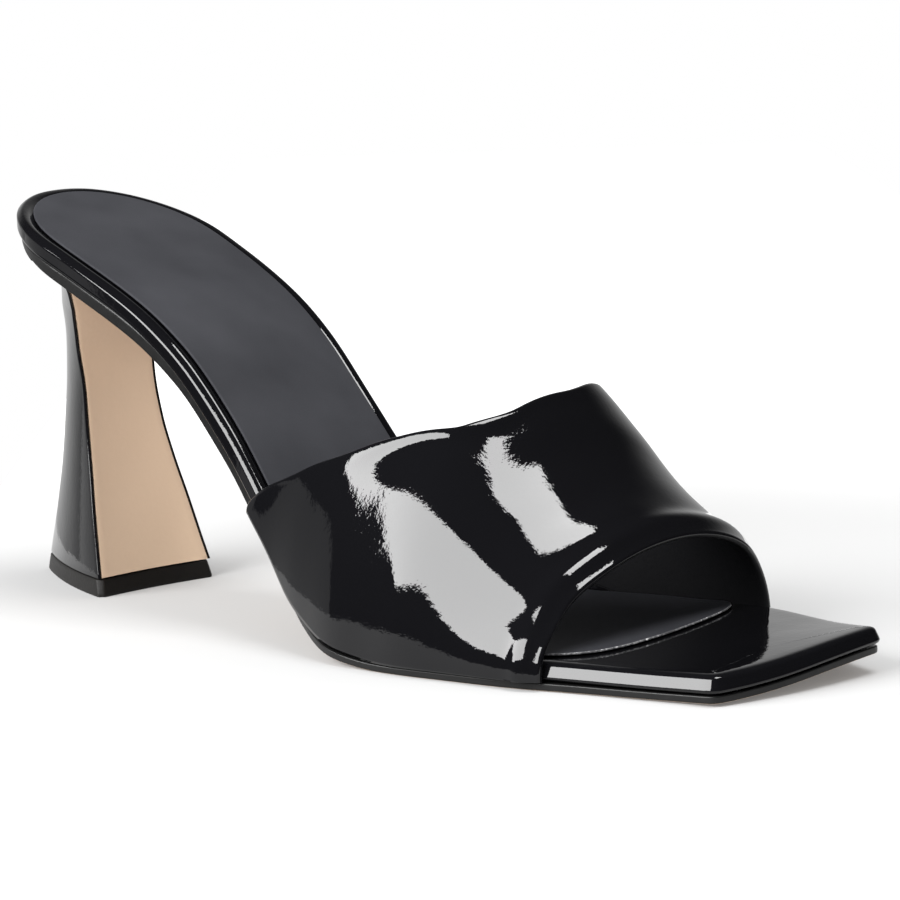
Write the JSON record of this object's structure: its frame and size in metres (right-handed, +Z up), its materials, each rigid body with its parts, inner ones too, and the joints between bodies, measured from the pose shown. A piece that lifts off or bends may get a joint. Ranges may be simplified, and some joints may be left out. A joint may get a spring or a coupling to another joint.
{
  "type": "mule",
  "caption": "Right high-heeled mule of black patent leather with an open square toe, an open back and a flared covered heel.",
  "frame": {"origin": "on the floor, under the middle of the shoe's outline", "axes": "+X towards the toe, along the shoe's length; +Z up; +Y towards the inner (big toe) side of this right shoe"},
  "size_m": [0.2442, 0.0826, 0.0952],
  "materials": {
    "patent_leather": "gloss",
    "sock_leather": "satin",
    "sole_leather": "matte",
    "breast_leather": "matte",
    "lift_rubber": "matte"
  },
  "bodies": {
    "root": {"insole": "patent_leather", "sock": "sock_leather", "upper": "patent_leather", "outsole": "sole_leather", "heel": "patent_leather", "heel_breast": "breast_leather", "top_lift": "lift_rubber"}
  },
  "joints": []
}
